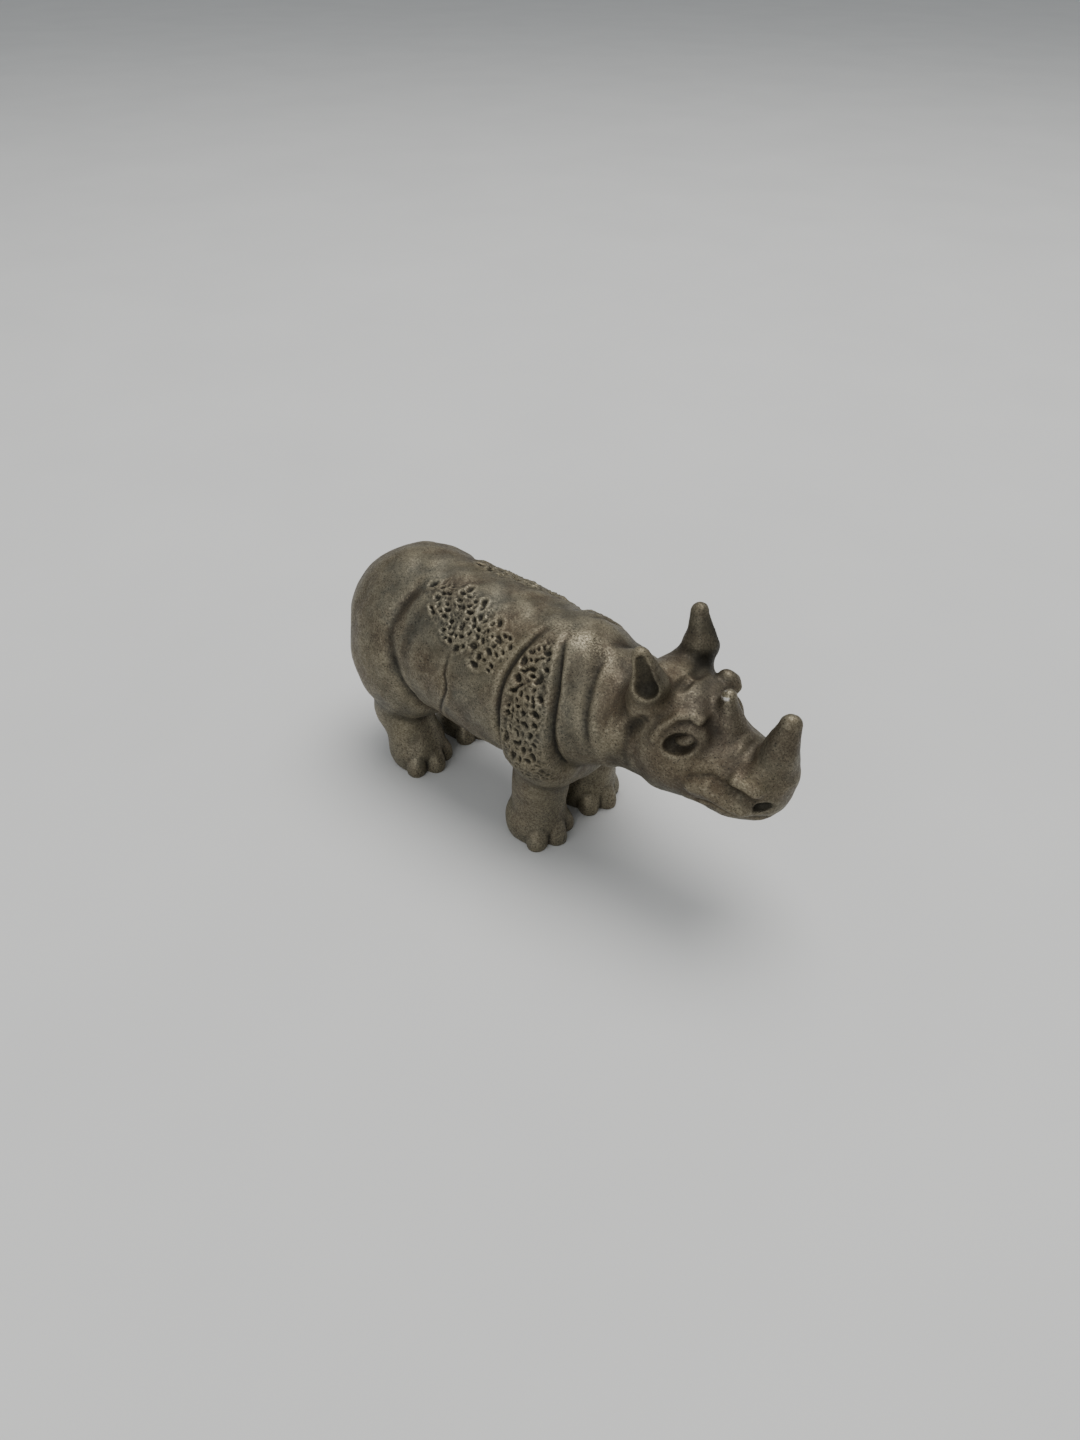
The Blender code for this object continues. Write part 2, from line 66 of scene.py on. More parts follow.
# Relief of the head: points along each ridge or crease, its width, and its height or depth below zero
HEAD_RELIEF = (
    # Roll of the upper lip, the crease around it and the slit of the mouth
    (((21.3, 4.9, 19.2), (22.6, 4.5, 19.3), (24.3, 4.2, 18.7), (26.2, 3.7, 18.1)), 0.8, 0.9),
    (((20.9, 4.7, 20.1), (22.6, 4.3, 20.7), (24.5, 4.0, 20.1), (25.9, 3.8, 19.7), (27.0, 3.4, 19.4)),
     0.5, -0.25),
    (((21.6, 4.2, 17.2), (23.4, 4.1, 17.7), (25.4, 3.8, 17.5), (27.4, 2.6, 17.0), (28.6, 0, 16.9)),
     0.34, -0.3),
    # Wing of the nose
    (((24.9, 4.0, 21.1), (26.1, 3.8, 21.0), (27.2, 3.4, 20.6)), 0.55, 0.75),
    # Brow over the eye, and the hollow between it and the horn
    (((16.6, 5.2, 23.2), (17.2, 5.0, 24.6), (18.2, 4.6, 25.7), (19.4, 3.8, 26.0), (20.2, 3.4, 25.6)),
     0.5, 0.62),
    (((20.1, 2.8, 25.1), (21.3, 2.2, 24.2), (22.6, 1.8, 23.4)), 0.6, -0.12),
    # Crease behind the jaw and under the ear
    (((15.0, 5.8, 24.4), (13.6, 5.7, 22.6), (12.7, 5.6, 20.4), (13.0, 4.9, 18.0)), 0.6, -0.6),
    (((16.4, 5.4, 25.2), (15.2, 5.6, 24.6)), 0.4, -0.15),
    # Folds across the snout and a dent in the forehead
    (((25.2, 1.9, 22.8), (24.6, 0, 23.4)), 0.35, -0.18),
    (((23.9, 1.4, 23.0), (23.6, 0, 23.5)), 0.4, 0.2),
    (((16.6, 1.1, 27.2), (17.0, 0.9, 27.0)), 0.4, -0.45),
)
# Cast pits: how many on each side, their radius and depth
SADDLE_PITS, SLEEVE_PITS = 62, 54
PIT_RADIUS, PIT_DEPTH = (0.19, 0.46), (0.24, 0.42)
# How far apart they keep, how much longer than wide they are, and how proud their rims stand
PIT_SPACING, PIT_STRETCH, PIT_RIM = 1.15, 0.35, 0.15
PIT_SEED = 8
BOX_LOW, BOX_HIGH = (-31.5, -11.5, -1.0), (31.5, 11.5, 34.5)
# Height at which the soles are cut flat
SOLE_CUT = 0.04

# Worn hide between the pits: how many cells, the ridges between them and the dips in their middles
CELL_COUNT, RIDGE_HEIGHT, RIDGE_WIDTH = 1000, 0.13, 0.13
DIP_DEPTH, DIP_RADIUS = 0.07, 0.2
# Lumps of the casting, and how much they gain on the head
LUMP_HEIGHT, HEAD_LUMP_GAIN = 0.05, 0.03

# Bends of the skin at three sizes: rounds of smoothing, the bend that counts in full, and how much it
# darkens a hollow and brightens a proud place
BENDS = ((3, 0.035, 0.5, 0.9), (14, 0.09, 0.45, 0.6), (60, 0.32, 0.3, 0.3))
# Patches of painted shade and darker tone, of worn metal with painted highlights, and of warmer tone:
# strength, middle and reach
SHADE_AND_TONE_PATCHES = (
    # Painted shade at the foot of the left ear, on the ear itself, and in the hollow between the right brow
    # and the horn
    (1.2, (15.4, 4.2, 27.4), (2.4, 2.4, 1.2)),
    (0.6, (14.5, 4.6, 30.0), (2.4, 2.4, 3.0)),
    (0.6, (20.9, -1.9, 24.0), (1.5, 1.3, 1.0)),
    # Painted shade on the right shoulder and the withers; darker on the forehead, front horn and crown
    (0.3, (8.0, -7.5, 18.0), (3.5, 4.0, 7.0)),
    (0.35, (7.5, -3.0, 26.5), (4.5, 4.0, 2.5)),
    (0.4, (18.4, -2.2, 26.4), (2.8, 2.0, 1.5)),
    (0.4, (27.6, 0.0, 25.5), (2.0, 2.0, 3.0)),
    (0.35, (17.5, 1.0, 27.0), (4.0, 3.5, 2.5)),
)
# The same on both sides, painted shade over the patina: the eye socket with the eyeball left paler in it,
# the ear's hollow and the nostril
PAIRED_SHADE_PATCHES = (
    (0.8, (19.4, 4.3, 23.2), (1.9, 1.5, 1.2)),
    (-0.5, (19.1, 4.4, 23.2), (0.9, 1.5, 0.5)),
    (0.85, (15.6, 5.2, 28.8), (1.4, 1.0, 2.2)),
    (0.9, (27.8, 2.6, 18.75), (1.2, 0.9, 0.6)),
)
# Worn metal with painted highlights: three along the withers, then painted highlights at the tip of the
# front horn and the top of the brow horn
RUBBED_AND_HIGHLIT = (
    (0.45, (1.2, -1.3, 27.4), (2.2, 1.1, 1.5)),
    (0.6, (4.2, -1.5, 27.3), (2.4, 1.0, 1.5)),
    (0.5, (6.9, -1.0, 26.5), (1.6, 0.8, 1.5)),
    (0.5, (28.0, 0.0, 28.0), (0.8, 0.8, 0.5)),
    (1.3, (21.0, -0.5, 27.5), (0.9, 0.7, 0.8)),
)
# Head and neck
WARM = (
    (0.8, (19.5, -1.5, 24.0), (5.0, 5.0, 3.5)),
    (0.5, (10.5, -2.0, 26.5), (5.0, 4.0, 3.0)),
)

# Colours of the metal, and of a painted highlight
OLIVE, COOL, BROWN = (0.112, 0.094, 0.058), (0.096, 0.089, 0.067), (0.066, 0.045, 0.027)
WARM_BROWN, DARK = (0.105, 0.068, 0.041), (0.013, 0.012, 0.009)
LIGHT, PAINTED_GLINT = (0.30, 0.262, 0.18), (0.78, 0.75, 0.70)
METALLIC = 0.68

# Camera and light, in metres
CAMERA_PLACE = (0.05946, -0.07266, 0.08804)
CAMERA_RIGHT = (0.76081, 0.64898, 0.0)
CAMERA_AHEAD = (-0.50789, 0.59542, -0.62251)
CAMERA_LENS = 26.5
SKY_STRENGTH = 0.42
LIGHTS = (
    ("key", (0.0, 0.12, 0.60), 0.5, 3.5, (1.0, 0.985, 0.96)),
    ("fill", (0.10, -0.55, 0.30), 0.5, 1.2, (0.97, 0.985, 1.0)),
)
FLOOR_HALF = 8.0


def length_of(v):
    return np.sqrt((v * v).sum(axis=-1))


def ellipsoid(p, centre, radii, pitch=0.0, power=2.0):
    """Rough distance to an egg shape; pitch tips its nose up, in degrees."""
    q = p - np.array(centre, np.float32)
    if pitch:
        c, s = np.cos(np.radians(pitch)), np.sin(np.radians(pitch))
        q = np.stack([c * q[..., 0] + s * q[..., 2], q[..., 1], c * q[..., 2] - s * q[..., 0]], -1)
    r = np.array(radii, np.float32)
    if power == 2.0:
        k0 = length_of(q / r)
        k1 = length_of(q / (r * r))
        return k0 * (k0 - 1) / np.maximum(k1, 1e-6)
    g = (np.abs(q / r) ** power).sum(-1)
    return length_of(q) * (1 - np.maximum(g, 1e-9) ** (-1 / power))


def oval(u, v, half_u, half_v):
    """Distance to an oval bar that runs at right angles to u and v."""
    k0 = np.sqrt((u / half_u) ** 2 + (v / half_v) ** 2)
    k1 = np.sqrt((u / half_u ** 2) ** 2 + (v / half_v ** 2) ** 2)
    return k0 * (k0 - 1) / np.maximum(k1, 1e-6)


def limb(p, a, b, radius_a, radius_b):
    """Distance to a round tapered limb from a to b."""
    a = np.array(a, np.float32)
    b = np.array(b, np.float32)
    along = b - a
    t = np.clip(((p - a) @ along) / (along @ along), 0, 1)
    return length_of(p - a - t[..., None] * along) - (radius_a + t * (radius_b - radius_a))


def cord(p, points, radius):
    """Distance to a round cord through the points."""
    out = limb(p, points[0], points[1], radius, radius)
    for a, b in zip(points[1:-1], points[2:]):
        out = np.minimum(out, limb(p, a, b, radius, radius))
    return out


def join(a, b, blend):
    h = np.maximum(blend - np.abs(a - b), 0) / blend
    return np.minimum(a, b) - h * h * blend * 0.25


def carve(a, b, blend):
    return -join(-a, b, blend)


def meet(a, b, blend):
    return -join(-a, -b, blend)


def place_on(curve, z):
    """Place along the body of a smooth curve through the fold's points, at a height."""
    heights, places = np.array(curve, float).T
    bend = np.polyfit(heights - 20, places, 3)
    return np.polyval(bend, np.clip(z, heights.min() - 1, heights.max() + 1) - 20)


def lean_of(p):
    """Angle around the body from straight up, in degrees."""
    return np.degrees(np.arctan2(np.abs(p[..., 1]), p[..., 2] - 18.0))


def fold(p, d, curve, start, depth, width, lip):
    """Press a skin fold along a curve seen from the side, with a raised lip on one side of it."""
    heights, z = np.array(curve)[:, 0], p[..., 2]
    s = p[..., 0] - place_on(curve, z)
    fade = np.clip((z - heights.min() + 0.6) / 1.6, 0, 1) * np.clip((lean_of(p) - start) / 22, 0, 1)
    near = np.clip(1.5 - np.abs(d), 0, 1)
    groove = np.exp(-(s / width) ** 2)
    raised = np.exp(-((s - np.sign(lip) * 1.9 * width) / (1.3 * width)) ** 2)
    return d + fade * near * (depth * groove - abs(lip) * raised)


def relief(m, d, points, width, height):
    """Raise a soft ridge along points near the skin, or press a crease where the height is below zero."""
    # How far out the points lie matters little, because the skin itself is moved
    flat = np.array((1, 0.35, 1), np.float32)
    away = cord(m * flat, [np.array(q) * flat for q in points], 0.0)
    near = np.clip(1.5 - np.abs(d), 0, 1)
    return d - height * near * np.exp(-(away / width) ** 2)


def foot(m, x, y):
    out = ellipsoid(m, (x - 0.5, y, 1.7), (FOOT_HALF, FOOT_HALF, 3.4), power=2.3)
    for turn in TOE_TURNS:
        c, s = np.cos(np.radians(turn)), np.sin(np.radians(turn))
        toe = ellipsoid(m, (x + TOE_REACH * c, y + TOE_REACH * s, 0.8), (TOE_HALF, TOE_HALF, 2.1))
        nail = ellipsoid(m, (x + (TOE_REACH + 0.35) * c, y + (TOE_REACH + 0.35) * s, 0.7), (1.1, 1.1, 1.6))
        gap = limb(m, (x + (TOE_REACH + 0.2) * c, y + (TOE_REACH + 0.2) * s, 2.9),
                   (x + TOE_REACH * c - 0.2, y + TOE_REACH * s, 3.0), 0.45, 0.3)
        out = join(carve(out, gap, 0.5), join(toe, nail, 0.3), 0.12)
    return out


def body(p, m):
    # The masses run into each other along the back and part into folds down the sides
    top = np.clip((58 - lean_of(p)) / 40, 0, 1) * np.clip((p[..., 2] - 18) / 4, 0, 1)
    # Rump, thigh, hock and hind foot
    rump = ellipsoid(p, (-19.5, 0, 18.2), (10.3, 9.0, 9.45))
    thigh = ellipsoid(m, (-20.4, 4.3, 13.8), (6.9, 4.7, 6.6), pitch=8)
    hind = join(rump, thigh, 2.5)
    shank = limb(m, (-21.2, 4.5, 8.5), (HIND_X - 0.4, LEG_Y, 3.0), 3.3, 3.2)
    hock = ellipsoid(m, (-22.7, 4.6, 7.0), (2.5, 2.3, 2.5))
    shank = join(shank, hock, 1.2)
    shank = join(shank, foot(m, HIND_X, LEG_Y), 1.0)
    hind = join(hind, shank, 0.6)
    tail = limb(p, (-28.9, 0, 18.9), (-29.15, 0, 14.6), 0.95, 0.8)
    tuft = ellipsoid(p, (-29.0, 0, 13.3), (0.95, 1.15, 2.0))
    hind = join(hind, join(tail, tuft, 0.5), 0.4)
    # Barrel of the body, its rear edge rolled over the thigh
    drop = (p[..., 0] + 6.0) * 0.05
    barrel = oval(p[..., 1], p[..., 2] - 18.1 + drop, BARREL_HALF_WIDE, BARREL_HALF_HIGH)
    barrel = barrel + 0.55 * ((p[..., 0] + 8.0) / 9.0) ** 2 - 0.2
    rear_edge = oval(p[..., 0] + 6.6, p[..., 2] - 19.0, 10.6, 12.0)
    barrel = meet(barrel, rear_edge, 4.0)
    out = join(hind, barrel, 1.1 + 2.4 * top)
    back = limb(p, (-19.5, 0, 21.2), (3, 0, 20.6), 5.9, 6.3)
    out = join(out, back, 2.0)
    # Neck, deep at the chest and narrow behind the head
    t = np.clip((p[..., 0] - 5) / 7, 0, 1)
    lift = 0.6 * np.clip(p[..., 0] - 11, 0, 3)
    neck = oval(p[..., 1], p[..., 2] - 18.8 - 0.9 * t - lift, 8.4 - 1.8 * t, 7.2 - 2.4 * t - 0.8 * lift)
    neck = meet(neck, np.abs(p[..., 0] - 8.4) - 5.4, 3.0)
    nape = limb(p, (2, 0, 19.6), (12.5, 0, 19.0), 5.5, 5.1)
    out = join(out, join(neck, nape, 1.5), 0.6 + 2.0 * top)
    # Shoulder sleeve, upper arm and fore foot
    ring = oval(p[..., 1], p[..., 2] - 17.6, SLEEVE_HALF_WIDE, SLEEVE_HALF_HIGH)
    middle = 2.5 + np.clip(20 - p[..., 2], -3, 9) * 0.02
    half = 2.3 + np.clip(27 - p[..., 2], 0, 9) * 0.17
    ring = meet(ring, np.abs(p[..., 0] - middle) - half, 3.0)
    arm = ellipsoid(m, (2.9, 4.9, 15.2), (4.3, 4.6, 5.5), pitch=-4)
    out = join(out, join(ring, arm, 1.6), 0.4 + 2.2 * top)
    # The left fore foot stands a step further forward
    stepped = m.copy()
    stepped[..., 0] -= FORE_STEP * np.clip(p[..., 1] / 4 + 0.5, 0, 1) * np.clip((13 - p[..., 2]) / 9, 0, 1)
    leg = limb(stepped, (2.0, 4.8, 11.0), (FORE_X - 0.3, LEG_Y, 2.6), 3.3, 3.1)
    leg = join(leg, foot(stepped, FORE_X, LEG_Y), 1.2)
    out = join(out, leg, 0.5)
    for curve, start, depth, width, lip in SKIN_FOLDS:
        out = fold(p, out, curve, start, depth, width, lip)
    return out


def head(p, m):
    skull = ellipsoid(p, (15.7, 0, 21.7), (5.7, 5.3, 5.7), power=2.4)
    cheek = ellipsoid(m, (16.7, 2.6, 18.9), (3.7, 2.7, 3.9))
    muzzle = ellipsoid(p, (23.2, 0, 18.8), (5.6, 3.9, 4.1), power=2.3)
    out = join(skull, cheek, 2.0)
    out = join(out, muzzle, 3.0)
    nose = ellipsoid(p, (26.4, 0, 19.8), (2.2, 3.0, 3.2))
    out = join(out, nose, 1.5)
    face = limb(m, (17.2, 2.0, 20.6), (23.6, 1.5, 18.3), 3.2, 2.5)
    out = join(out, face, 2.0)
    out = join(out, limb(p, *NOSE_HORN), 1.0)
    out = join(out, limb(p, *BROW_HORN), 1.2)
    # Crest of the skull between the ears
    out = join(out, limb(m, (14.2, 0, 25.6), (14.2, 2.6, 25.6), 2.2, 2.1), 1.2)
    # Ears, hollowed on the side that faces forward and out
    ear = limb(m, (14.9, 4.5, 28.2), (14.1, 4.95, 31.3), 1.8, 0.95)
    ear = join(ear, limb(m, (14.6, 3.6, 25.2), (14.75, 4.2, 27.9), 2.15, 1.7), 0.7)
    hollow = limb(m, (15.4, 5.95, 28.6), (14.75, 6.0, 31.2), 1.33, 0.8)
    out = join(out, carve(ear, hollow, 0.25), 0.9)
    # Knob on the far brow
    out = join(out, ellipsoid(p, (18.8, 3.4, 26.2), (1.1, 0.9, 1.0)), 0.5)
    # Eyes in almond sockets with a raised rim
    x, y, z = EYE
    rim = ellipsoid(m, (x - 0.4, y - 1.6, z), (2.2, 0.9, 1.4), pitch=EYE_PITCH)
    socket = ellipsoid(m, (x, y + 0.3, z), (2.0, 1.4, 1.15), pitch=EYE_PITCH)
    ball = ellipsoid(m, (x - 0.3, y - 0.85, z), (1.2, 0.8, 0.62), pitch=EYE_PITCH)
    out = join(out, rim, 1.0)
    out = carve(out, socket, 0.3)
    out = join(out, ball, 0.1)
    for points, width, height in HEAD_RELIEF:
        out = relief(m, out, points, width, height)
    return carve(out, ellipsoid(m, NOSTRIL, (1.15, 1.0, 0.62), pitch=20), 0.15)


def figure(p):
    """Distance from points to the whole figure; its left side mirrors its right."""
    m = p.copy()
    m[..., 1] = np.abs(m[..., 1])
    # Low lumps, as in any small cast that was first modelled by hand
    x, y, z = p[..., 0], p[..., 1], p[..., 2]
    lumps = np.sin(1.1 * x + 0.6 * y) * np.sin(0.9 * z - 0.4 * x)
    lumps = lumps + np.sin(1.7 * y - 0.8 * z) * np.sin(1.4 * x + 1)
    return np.maximum(join(body(p, m), head(p, m), 1.1) - 0.05 * lumps, -z)


def settle(values, step):
    """Fill the grid cells where the skin would only meet itself along an edge or at a corner."""
    halves = ((0, -1), (1, None))
    whole = (0, None)
    corners = [(a, b, c) for a in halves for b in halves for c in halves]
    for _ in range(20):
        inside = values < 0
        bad = []
        for flat in range(3):
            span = [(a, b) for a in halves for b in halves]
            span = [tuple(s[:flat] + (whole,) + s[flat:]) for s in span]
            four = [inside[tuple(slice(*r) for r in s)] for s in span]
            crossed = (four[0] == four[3]) & (four[1] == four[2]) & (four[0] != four[1])
            bad.append((span, crossed))
        eight = [inside[tuple(slice(*r) for r in s)] for s in corners]
        count = sum(e.astype(np.int8) for e in eight)
        crossed = np.zeros(count.shape, bool)
        for i in range(4):
            pair = eight[i] == eight[7 - i]
            crossed |= pair & ((eight[i] & (count == 2)) | (~eight[i] & (count == 6)))
        bad.append((corners, crossed))
        if not any(c.any() for _, c in bad):
            break
        for span, crossed in bad:
            for s in span:
                part = values[tuple(slice(*r) for r in s)]
                part[crossed] = np.minimum(part[crossed], -0.05 * step)
    return values


def crossings(values, low, step):
    """Skin of four-sided faces where the values pass from inside to outside."""
    inside = values < 0
    ends = ((0, -1), (1, None))
    count = sum(inside[a[0]:a[1], b[0]:b[1], c[0]:c[1]].astype(np.int8)
                for a in ends for b in ends for c in ends)
    cells = np.argwhere((count > 0) & (count < 8))
    index = -np.ones(np.array(values.shape) - 1, np.int64)
    index[tuple(cells.T)] = np.arange(len(cells))
    total = np.zeros((len(cells), 3))
    hits = np.zeros(len(cells))
    corner = np.array([(i, j, k) for i in (0, 1) for j in (0, 1) for k in (0, 1)])
    for a in range(8):
        for b in range(a + 1, 8):
            if np.abs(corner[a] - corner[b]).sum() != 1:
                continue
            va = values[tuple((cells + corner[a]).T)]
            vb = values[tuple((cells + corner[b]).T)]
            hit = (va < 0) != (vb < 0)
            t = np.where(hit, va / np.where(hit, va - vb, 1), 0)
            total += (corner[a] + t[:, None] * (corner[b] - corner[a])) * hit[:, None]
            hits += hit
    points = (cells + total / hits[:, None]) * step + low
    quads = []
    for axis in range(3):
        first, second = [(1, 2), (2, 0), (0, 1)][axis]
        lower = [slice(None)] * 3
        upper = [slice(None)] * 3
        lower[axis], upper[axis] = slice(0, -1), slice(1, None)
        here, there = inside[tuple(lower)], inside[tuple(upper)]
        e = np.argwhere(here != there)
        outward = here[tuple(e.T)]
        d1, d2 = np.zeros(3, int), np.zeros(3, int)
        d1[first] = 1
        d2[second] = 1
        quad = np.stack([index[tuple((e - d).T)] for d in (d1 + d2, d2, 0 * d1, d1)], 1)
        quad[~outward] = quad[~outward][:, ::-1]
        quads.append(quad)
    return points, np.concatenate(quads)


def skin_of(step, block=4):
    """Points and faces of the figure's skin; only the grid blocks near the skin are filled in."""
    low, high = np.array(BOX_LOW, float), np.array(BOX_HIGH, float)
    cells = np.ceil((high - low) / (step * block)).astype(int)
    axes = [(np.arange(n) + 0.5) * step * block for n in cells]
    middles = np.stack(np.meshgrid(*axes, indexing="ij"), -1) + low
    coarse = figure(middles.reshape(-1, 3).astype(np.float32)).reshape(cells)
    near = np.abs(coarse) < step * block * 2.4
    values = np.where(coarse < 0, -9.0, 9.0).astype(np.float32)
    for axis in range(3):
        values = np.repeat(values, block, axis)
        near = np.repeat(near, block, axis)
    at = (np.argwhere(near) * step + low + step * 0.5).astype(np.float32)
    filled = np.empty(len(at), np.float32)
    for start in range(0, len(at), 400000):
        filled[start:start + 400000] = figure(at[start:start + 400000])
    values[near] = filled
    return crossings(settle(values, step), low + step * 0.5, step)


def pit_spots():
    """Middles, outward ways, radii and depths of the cast pits on the saddle and the shoulder sleeves."""
    dice = np.random.RandomState(PIT_SEED)
    spots = []
    for number, pick in ((SADDLE_PITS, saddle_place), (SLEEVE_PITS, sleeve_place)):
        for side in (-1, 1):
            placed = []
            tries = 0
            while len(placed) < number and tries < 40 * number:
                tries += 1
                x, lean = pick(dice)
                radius = PIT_RADIUS[0] + (PIT_RADIUS[1] - PIT_RADIUS[0]) * dice.uniform() ** 1.5
                if all(np.hypot(x - o[0], (lean - o[1]) * 0.16) > (radius + o[2]) * PIT_SPACING
                       for o in placed):
                    placed.append((x, lean, radius, dice.uniform(*PIT_DEPTH), dice.uniform(0, 180)))
            spots += [(x, side * lean, *others) for x, lean, *others in placed]
    x, lean, radius, depth, turn = np.array(spots).T
    aim = np.stack([0 * x, np.sin(np.radians(lean)), np.cos(np.radians(lean))], 1)
    start = np.stack([x, 0 * x, 0 * x + 18.0], 1)
    inner, outer = np.zeros(len(x)), np.full(len(x), 13.0)
    for _ in range(24):
        half = (inner + outer) / 2
        outside = figure((start + aim * half[:, None]).astype(np.float32)) > 0
        outer = np.where(outside, half, outer)
        inner = np.where(outside, inner, half)
    # Each pit is stretched along a way of its own that lies in the skin
    c, s = np.cos(np.radians(turn))[:, None], np.sin(np.radians(turn))[:, None]
    along = c * np.array((1.0, 0, 0)) + s * np.cross(aim, (1.0, 0, 0))
    return start + aim * inner[:, None], aim, along, radius, depth


def saddle_place(dice):
    """Somewhere in a slanting patch behind the withers."""
    while True:
        x, lean = dice.uniform(-15.6, -0.6), dice.uniform(9, 62)
        middle = 35 + (x + 8) * 1.8
        if ((x + 8.0) / 7.4) ** 2 + ((lean - middle) / 21) ** 2 < dice.uniform(0.6, 1):
            return x, lean


def sleeve_place(dice):
    """Somewhere between the shoulder folds, thinning out downwards."""
    lean = 26 + 92 * dice.uniform() ** 1.3
    z = 18 + 9.2 * np.cos(np.radians(lean))
    low = place_on(SHOULDER_REAR, z) + 0.9
    high = place_on(SHOULDER_FRONT, z) - 1.1
    return dice.uniform(low, max(high, low + 0.6)), lean


def press_pits(points):
    """The points moved in where the pits are and out on their rims, and how far each one moved."""
    moved = points.copy()
    relief = np.zeros(len(points))
    for middle, aim, along, radius, depth in zip(*pit_spots()):
        near = np.where((np.abs(points - middle) < 3.5 * radius).all(1))[0]
        away = points[near] - middle
        s = length_of(away - PIT_STRETCH * (away @ along)[:, None] * along) / radius
        rise = depth * (PIT_RIM * np.exp(-((s - 1.6) / 0.5) ** 2) - np.exp(-(s / 0.85) ** 4))
        moved[near] += rise[:, None] * aim
        relief[near] += rise
    return moved, relief


def worn_cells(points, seeds):
    """Distance to the nearest and the second nearest seed of each point."""
    nearest = np.full(len(points), 1e9)
    second = np.full(len(points), 1e9)
    for seed in seeds:
        d = length_of(points - seed)
        second = np.minimum(second, np.maximum(d, nearest))
        nearest = np.minimum(nearest, d)
    return nearest, second


def hide_area(points):
    """How far a point lies inside the pitted saddle or sleeves, from 0 to 1."""
    x, z = points[:, 0], points[:, 2]
    lean = lean_of(points)
    saddle = 1.15 - ((x + 8.6) / 7.0) ** 2 - ((lean - 35 - (x + 8) * 1.8) / 22) ** 2
    rear, front = place_on(SHOULDER_REAR, z), place_on(SHOULDER_FRONT, z)
    sleeve = np.minimum(x - rear - 0.3, front - 0.2 - x)
    sleeve = np.minimum(sleeve, np.minimum(lean - 18, 124 - lean) * 0.12)
    return np.clip(saddle * 1.4, 0, 1) + np.clip(sleeve, 0, 1) * (z > 10.5)


def normals_of(points, quads):
    """Outward way of the skin at each point."""
    a, b, c, d = (points[quads[:, i]] for i in range(4))
    face = np.cross(c - a, d - b)
    out = np.zeros_like(points)
    for i in range(4):
        for axis in range(3):
            out[:, axis] += np.bincount(quads[:, i], face[:, axis], len(points))
    return out / np.maximum(length_of(out)[:, None], 1e-9)


def fine_relief(points, normals):
    """Ridges and small pits of the worn hide between the cast pits."""
    area = np.clip(hide_area(points), 0, 1)
    inside = np.where(area > 0)[0]
    at = points[inside]
    dice = np.random.RandomState(PIT_SEED + 1)
    seeds = at[dice.choice(len(at), CELL_COUNT, replace=False)]
    nearest, second = worn_cells(at, seeds)
    # Broken worm-like ridges, some high and some nearly worn away
    high = 0.5 + 0.5 * np.sin(1.9 * at[:, 0] + 0.6) * np.sin(2.3 * at[:, 1] + 1.7 * at[:, 2])
    ridge = high * np.exp(-((second - nearest) / RIDGE_WIDTH) ** 2)
    # The uneven skin of the casting, lumpiest on the head
    lumps = np.array([noise.fractal(Vector(q), 1.0, 2.1, 4) for q in (points * 0.5).tolist()])
    relief = lumps * (LUMP_HEIGHT + HEAD_LUMP_GAIN * np.clip((points[:, 0] - 14) / 4, 0, 1))
    dip = np.exp(-(nearest / DIP_RADIUS) ** 2)
    relief[inside] += area[inside] * (RIDGE_HEIGHT * ridge - DIP_DEPTH * dip)
    return relief


def neighbours_of(mesh):
    """Pairs of points that share an edge."""
    edges = np.empty(2 * len(mesh.edges), np.int32)
    mesh.edges.foreach_get("vertices", edges)
    return edges.reshape(-1, 2)


def smoothed(points, edges, rounds):
    """The points after so many rounds of being drawn to the middle of their neighbours."""
    count = np.bincount(edges.ravel(), minlength=len(points)).astype(float)[:, None]
    for _ in range(rounds):
        total = np.zeros_like(points)
        for axis in range(3):
            total[:, axis] = (np.bincount(edges[:, 0], points[edges[:, 1], axis], len(points))
                              + np.bincount(edges[:, 1], points[edges[:, 0], axis], len(points)))
        points = 0.4 * points + 0.6 * total / count
    return points


def patches(points, rows):
    """How strongly soft round patches cover each point, all rows added up."""
    out = np.zeros(len(points))
    for strength, middle, reach in rows:
        out += strength * np.exp(-(length_of((points - np.array(middle)) / np.array(reach))) ** 2)
    return out


def vertex_values(mesh, name):
    """Three numbers for each point of the mesh."""
    values = np.empty(3 * len(mesh.vertices), np.float32)
    mesh.vertices.foreach_get(name, values)
    return values.reshape(-1, 3)


